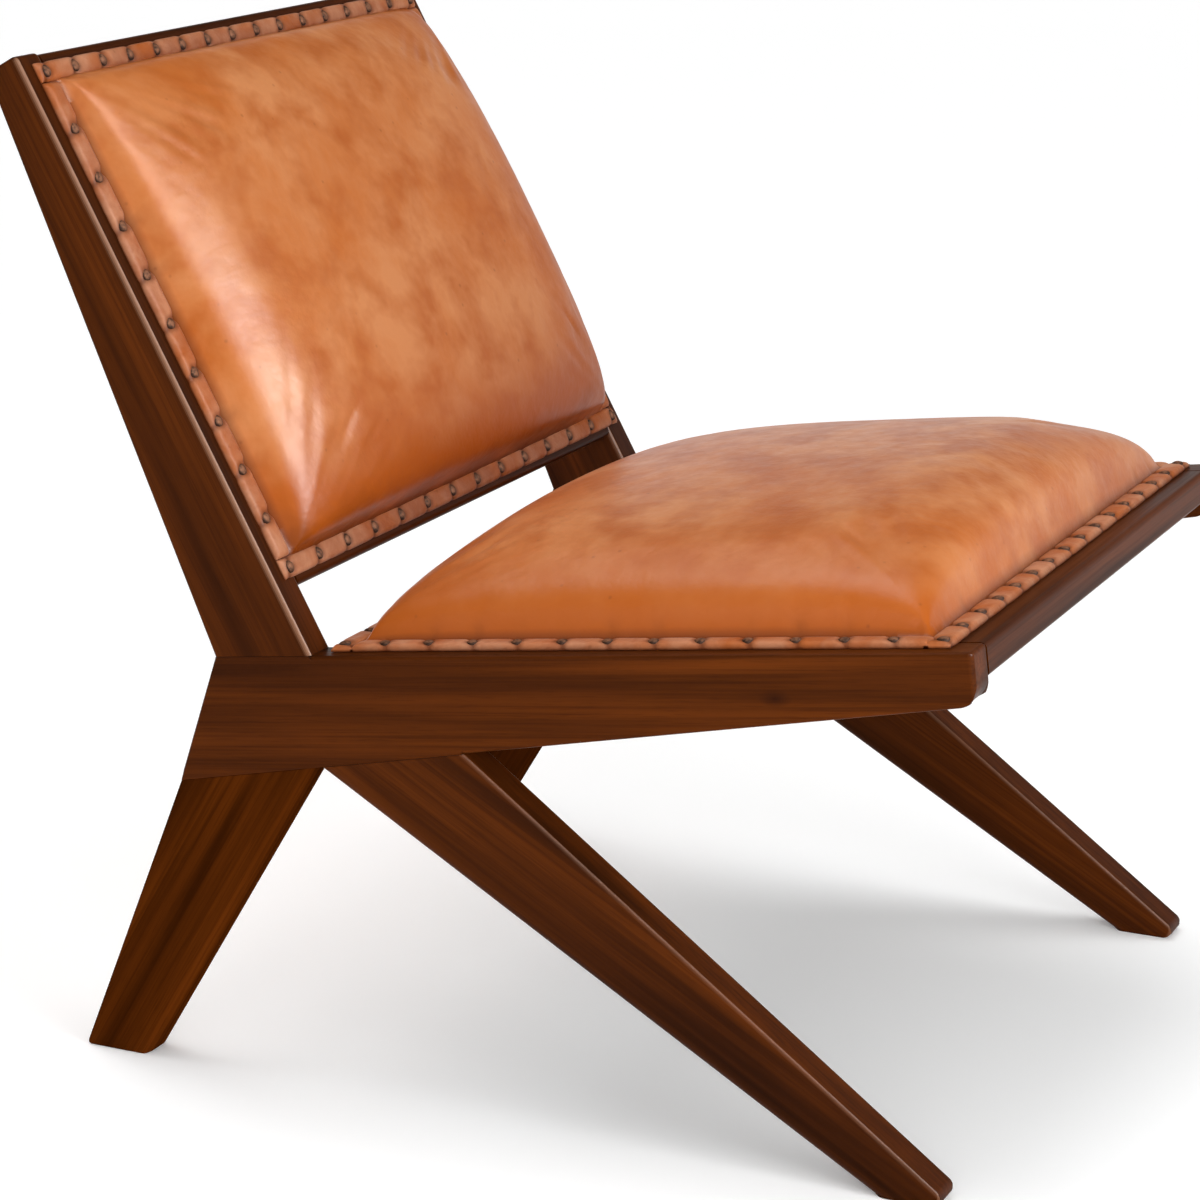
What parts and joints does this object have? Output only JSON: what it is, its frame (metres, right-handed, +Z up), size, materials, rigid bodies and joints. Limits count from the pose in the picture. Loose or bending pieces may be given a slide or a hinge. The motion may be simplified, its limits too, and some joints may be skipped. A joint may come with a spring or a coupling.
{
  "type": "lounge chair",
  "caption": "Low armless lounge chair: hardwood side frames with splayed legs carry a domed leather seat and a raked leather back, edged with nailed bands.",
  "frame": {"origin": "on the floor, in the middle of the chair's footprint", "axes": "+Z up, the front faces -Y, +X points to the sitter's left"},
  "size_m": [0.61, 0.7754, 0.771],
  "materials": {
    "hardwood": "satin lacquered, stained reddish brown",
    "beech": "plain, unfinished",
    "plywood": "plain, unfinished",
    "steel": "zinc plated",
    "foam": "open-cell upholstery foam",
    "leather": "glossy waxed tan, mottled",
    "band_leather": "satin tan strip",
    "nail_brass": "antique, dark patina",
    "dust_cloth": "black woven cambric"
  },
  "bodies": {
    "root": {"side_rail_right": "hardwood", "back_post_right": "hardwood", "rear_leg_right": "hardwood", "front_leg_right": "hardwood", "side_rail_left": "hardwood", "back_post_left": "hardwood", "rear_leg_left": "hardwood", "front_leg_left": "hardwood", "seat_front_rail": "hardwood", "seat_rear_rail": "hardwood", "back_bottom_rail": "hardwood", "back_top_rail": "hardwood", "back_post_dowel_right_1": "beech", "back_post_dowel_right_2": "beech", "rear_leg_dowel_right_1": "beech", "rear_leg_dowel_right_2": "beech", "front_leg_dowel_right_1": "beech", "front_leg_dowel_right_2": "beech", "back_post_dowel_left_1": "beech", "back_post_dowel_left_2": "beech", "rear_leg_dowel_left_1": "beech", "rear_leg_dowel_left_2": "beech", "front_leg_dowel_left_1": "beech", "front_leg_dowel_left_2": "beech", "seat_cleat_right": "beech", "seat_cleat_left": "beech", "back_cleat_right": "beech", "back_cleat_left": "beech", "seat_board": "plywood", "back_board": "plywood", "seat_board_screw_right_1": "steel", "seat_board_screw_right_2": "steel", "seat_board_screw_left_1": "steel", "seat_board_screw_left_2": "steel", "back_board_screw_right_1": "steel", "back_board_screw_right_2": "steel", "back_board_screw_left_1": "steel", "back_board_screw_left_2": "steel", "seat_foam": "foam", "back_foam": "foam", "seat_leather_cover": "leather", "back_leather_cover": "leather", "back_rear_cover": "leather", "seat_front_band": "band_leather", "seat_rear_band": "band_leather", "seat_right_band": "band_leather", "seat_left_band": "band_leather", "back_bottom_band": "band_leather", "back_top_band": "band_leather", "back_right_band": "band_leather", "back_left_band": "band_leather", "seat_dust_cover": "dust_cloth"}
  },
  "joints": []
}
